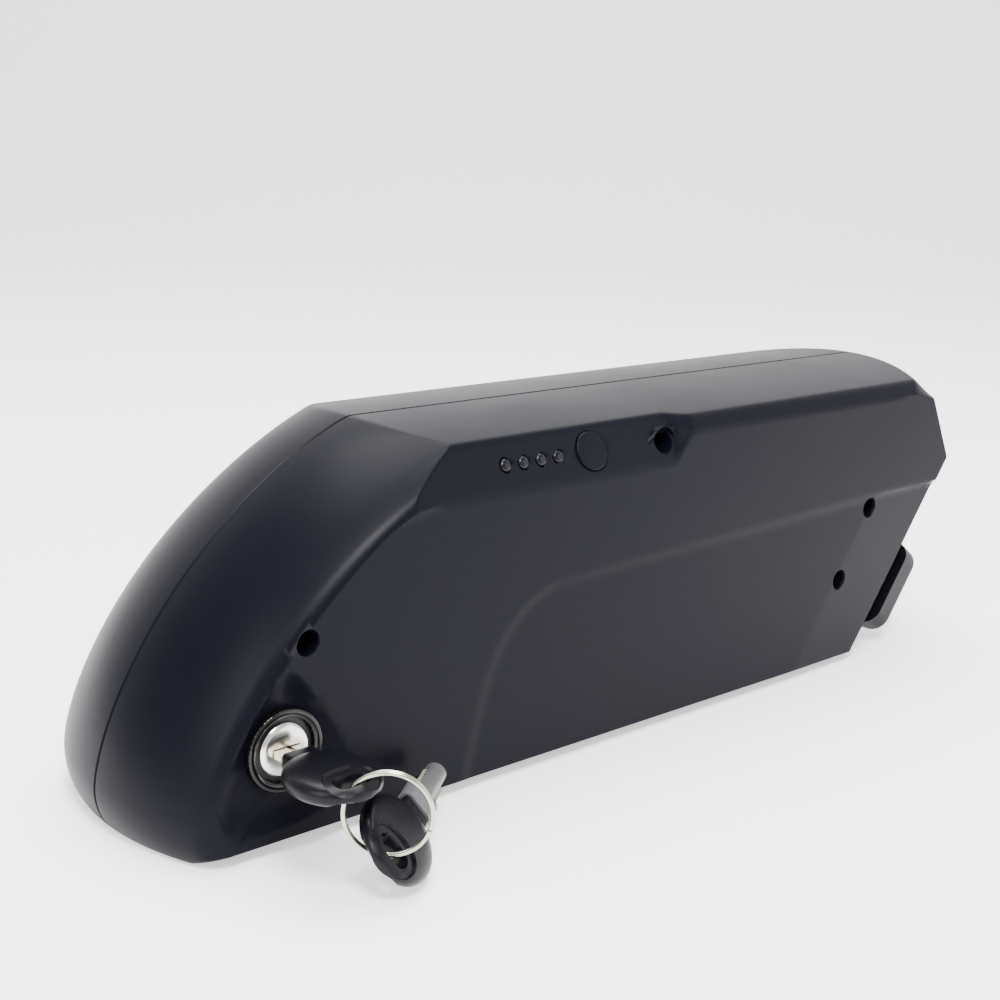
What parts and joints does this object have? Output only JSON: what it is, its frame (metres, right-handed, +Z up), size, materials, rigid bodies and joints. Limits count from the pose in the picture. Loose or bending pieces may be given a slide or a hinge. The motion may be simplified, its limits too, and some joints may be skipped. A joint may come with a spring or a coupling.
{
  "type": "battery pack",
  "caption": "Down-tube battery pack with rounded nose, two half shells round a cell block, charge display with button, key lock that shoots a bolt into a rail channel, and a plug at the back.",
  "frame": {"origin": "middle of the rail channel mouth, on the underside", "axes": "+Z up, -X towards the rounded nose, -Y towards the lock side"},
  "size_m": [0.369, 0.1408, 0.1135],
  "materials": {
    "case_plastic": "satin moulded, fine texture",
    "seal_rubber": "matt",
    "screw_steel": "black zinc plated",
    "cell_wrap": "shrink sleeve",
    "holder_plastic": "moulded",
    "nickel": "rolled strip",
    "sheet_board": "pressed board",
    "foam": "open foam",
    "circuit_board": "lacquered board",
    "chip_plastic": "moulded",
    "heat_sink_metal": "extruded",
    "header_plastic": "moulded",
    "red_lead": "soft sleeve",
    "black_lead": "soft sleeve",
    "fuse_body": "clear moulded",
    "lens_plastic": "smoked, polished",
    "button_spring_rubber": "silicone",
    "lamp": "clear dome",
    "bezel_plastic": "polished",
    "lock_zinc": "die cast, plated",
    "lock_chrome": "brushed face",
    "nut_brass": "turned",
    "bow_plastic": "satin moulded",
    "key_nickel": "nickel plated",
    "ring_steel": "polished wire",
    "sleeve_plastic": "soft translucent",
    "socket_plastic": "moulded"
  },
  "bodies": {
    "case": {"balance_header": "header_plastic", "balance_plug": "header_plastic", "board_spacers": "holder_plastic", "button_spring": "button_spring_rubber", "button_switch": "chip_plastic", "cap_hinge": "holder_plastic", "case_screws": "screw_steel", "cell_holder_far_side": "holder_plastic", "cell_holder_lock_side": "holder_plastic", "cell_row_1": "cell_wrap", "cell_row_2": "cell_wrap", "cell_row_3": "cell_wrap", "cell_row_4": "cell_wrap", "charge_nut": "nut_brass", "charge_pin": "nut_brass", "charge_socket": "socket_plastic", "control_board": "circuit_board", "display_board": "circuit_board", "display_lamps": "lamp", "far_side_shell": "case_plastic", "foam_pads": "foam", "fuse": "fuse_body", "fuse_holder": "holder_plastic", "heat_sink": "heat_sink_metal", "insulation_sheet_far_side": "sheet_board", "insulation_sheet_lock_side": "sheet_board", "lens_strip": "lens_plastic", "lock_bezel": "bezel_plastic", "lock_body": "lock_zinc", "lock_nut": "nut_brass", "lock_side_shell": "case_plastic", "negative_lead": "black_lead", "nickel_strips_far_side": "nickel", "nickel_strips_lock_side": "nickel", "positive_lead": "red_lead", "power_transistors": "chip_plastic", "seam_gasket": "seal_rubber", "tail_blades": "nut_brass", "tail_plug": "socket_plastic", "tail_screws": "screw_steel", "tail_seal": "seal_rubber"},
    "button": {"power_button": "case_plastic"},
    "plug": {"lock_plug": "lock_chrome", "lock_cam": "lock_zinc"},
    "bolt": {"lock_bolt": "lock_zinc"},
    "key": {"key_bow": "bow_plastic", "key_blade": "key_nickel"},
    "ring": {"key_ring": "ring_steel"},
    "spare_key": {"spare_key_bow": "bow_plastic", "spare_key_blade": "key_nickel", "spare_key_sleeve": "sleeve_plastic"},
    "cap": {"charge_cap": "seal_rubber"}
  },
  "joints": [
    {"name": "button_press", "type": "slide", "parent": "case", "child": "button", "axis": [0, 0.902, -0.4317], "range_m": [0, 0.0012], "stiffness_N_per_m": 900},
    {"name": "key_turn", "type": "hinge", "parent": "case", "child": "plug", "pos_m": [-0.148, -0.045, 0.031], "axis": [0, -1, 0], "range_deg": [0, 90]},
    {"name": "bolt_throw", "type": "slide", "parent": "case", "child": "bolt", "axis": [0, 0, -1], "range_m": [0, 0.00705]},
    {"name": "key_pull", "type": "slide", "parent": "plug", "child": "key", "axis": [0, -1, 0], "range_m": [0, 0.03]},
    {"name": "ring_turn", "type": "hinge", "parent": "key", "child": "ring", "pos_m": [-0.14071, -0.08239, 0.02412], "axis": [0.6702, 0.7422, 0], "range_deg": [-25, 16]},
    {"name": "spare_swing", "type": "hinge", "parent": "ring", "child": "spare_key", "pos_m": [-0.14071, -0.08239, 0.01212], "axis": [0.7422, -0.6702, 0], "range_deg": [-12, 12]},
    {"name": "cap_open", "type": "hinge", "parent": "case", "child": "cap", "pos_m": [-0.128, 0.0469, 0.0375], "axis": [1, 0, 0], "range_deg": [0, 100]}
  ],
  "couplings": [
    {"joint": "bolt_throw", "follows": "key_turn", "m_per_rad": 0.004456}
  ]
}
